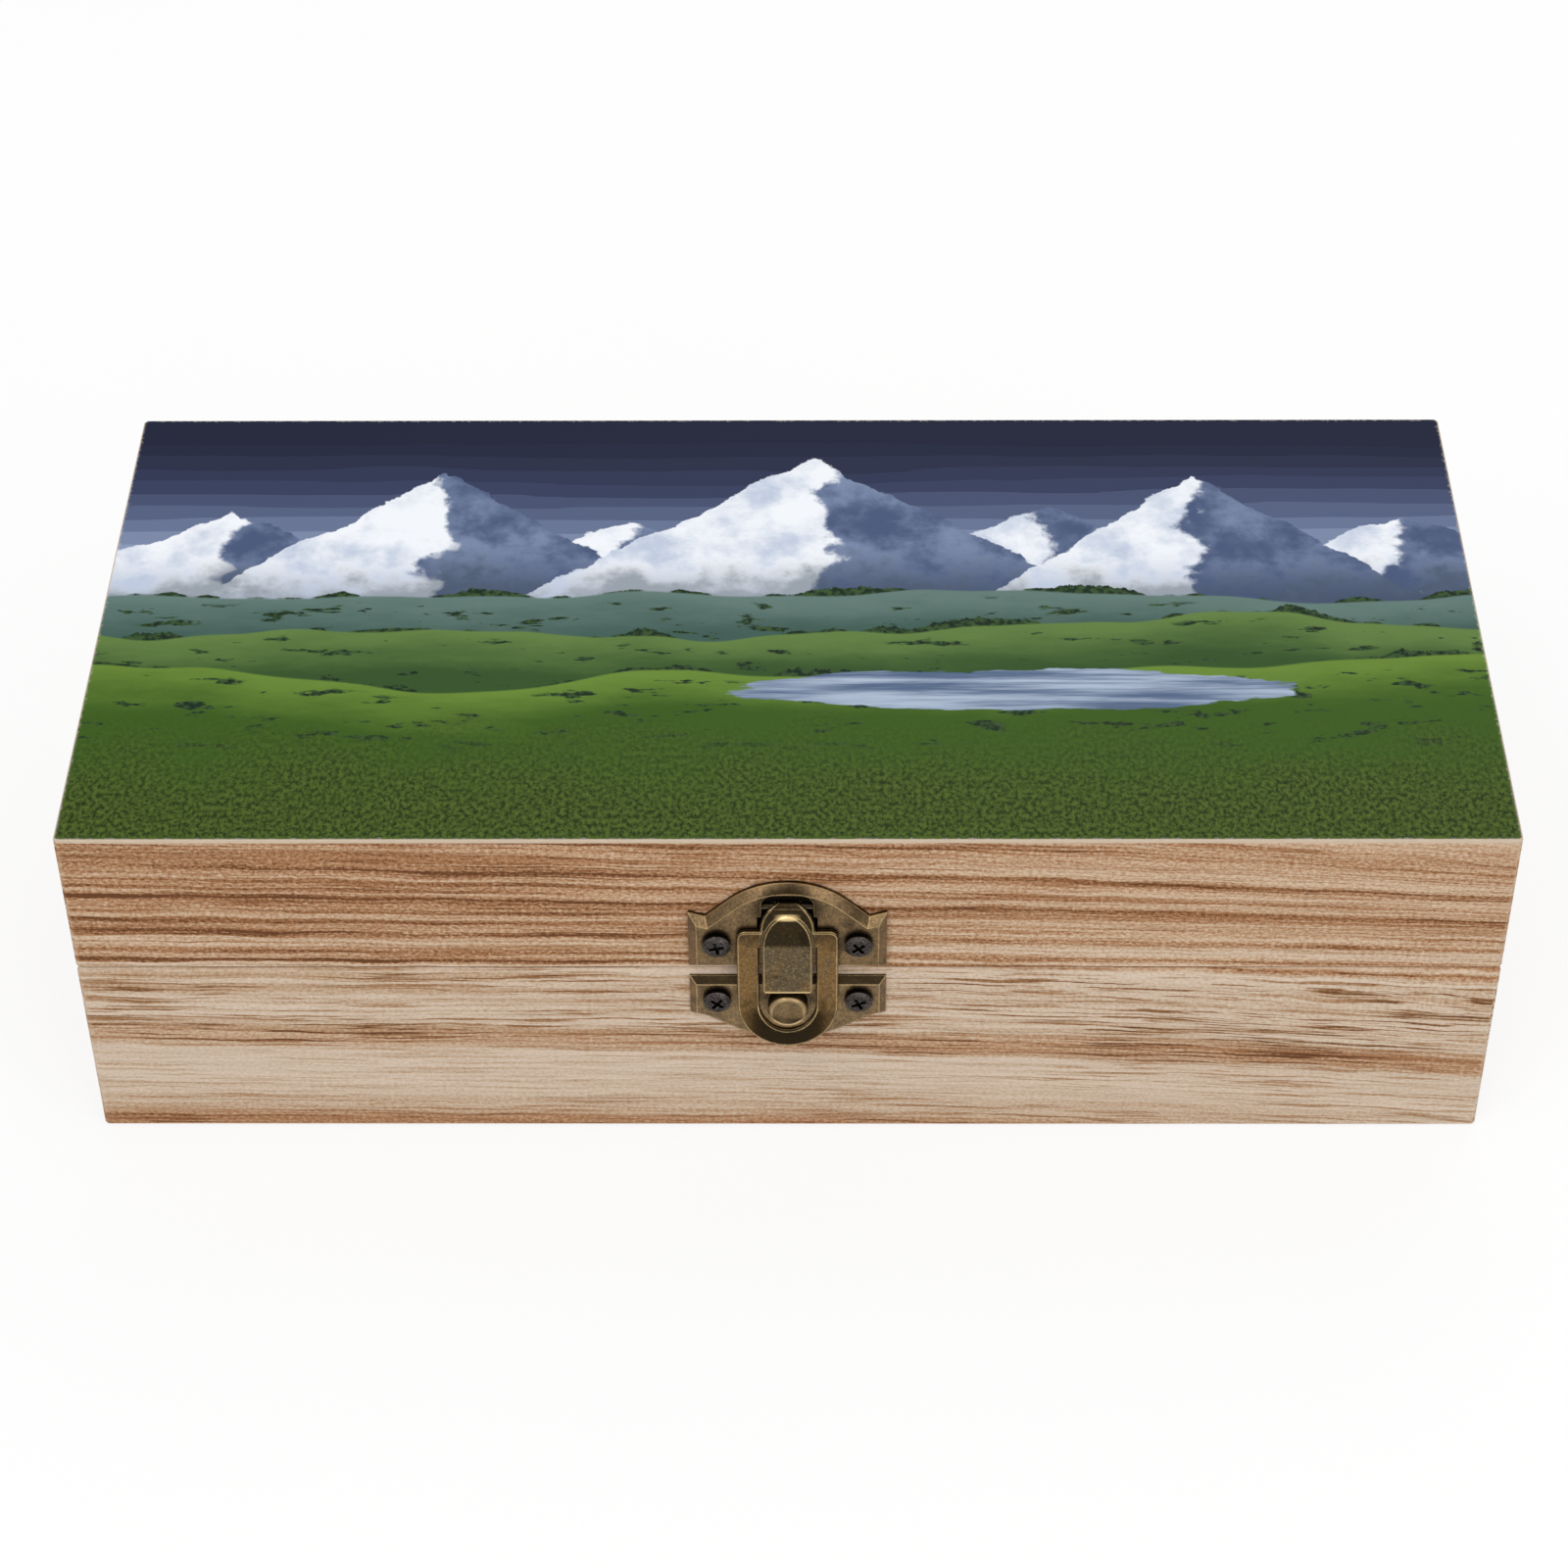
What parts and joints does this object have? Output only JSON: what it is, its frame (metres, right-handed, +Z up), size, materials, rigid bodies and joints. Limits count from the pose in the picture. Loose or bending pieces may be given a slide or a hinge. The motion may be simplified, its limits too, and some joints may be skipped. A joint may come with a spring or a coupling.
{
  "type": "wooden storage box",
  "caption": "Rectangular wooden storage box with a hinged lid, a printed sheet over the lid and a swinging bronze hasp latch at the front.",
  "frame": {"origin": "centre of the flat underside of the box", "axes": "+X along the front to the right, +Y from the front with the latch to the back with the hinges, +Z up"},
  "size_m": [0.21, 0.1099, 0.06],
  "materials": {
    "board_wood": "bare pale wood with brown straight grain",
    "panel_wood": "bare pale plywood",
    "picture_print": null,
    "antique_bronze": "antique bronze plating, darker in the recesses",
    "black_steel": "blackened steel",
    "pin_steel": "plain steel wire"
  },
  "bodies": {
    "base": {"base_front_wall": "board_wood", "base_back_wall": "board_wood", "base_left_wall": "board_wood", "base_right_wall": "board_wood", "base_bottom_panel": "panel_wood", "catch_plate": "antique_bronze", "catch_plate_screws": "black_steel", "hinge_left_base_leaf": "antique_bronze", "hinge_left_base_screws": "black_steel", "hinge_right_base_leaf": "antique_bronze", "hinge_right_base_screws": "black_steel", "hinge_left_pin": "antique_bronze", "hinge_right_pin": "antique_bronze"},
    "lid": {"lid_front_wall": "board_wood", "lid_back_wall": "board_wood", "lid_left_wall": "board_wood", "lid_right_wall": "board_wood", "lid_top_panel": "panel_wood", "lid_picture_sheet": "picture_print", "hasp_plate": "antique_bronze", "hasp_pin": "pin_steel", "hasp_plate_screws": "black_steel", "hinge_left_lid_leaf": "antique_bronze", "hinge_left_lid_screws": "black_steel", "hinge_right_lid_leaf": "antique_bronze", "hinge_right_lid_screws": "black_steel"},
    "hasp": {"hasp": "antique_bronze"}
  },
  "joints": [
    {"name": "lid_hinge", "type": "hinge", "parent": "base", "child": "lid", "pos_m": [0, 0.05175, 0.034], "axis": [-1, 0, 0], "range_deg": [0, 165]},
    {"name": "hasp_flip", "type": "hinge", "parent": "lid", "child": "hasp", "pos_m": [0, -0.05095, 0.0479], "axis": [-1, 0, 0], "range_deg": [0, 105]}
  ]
}
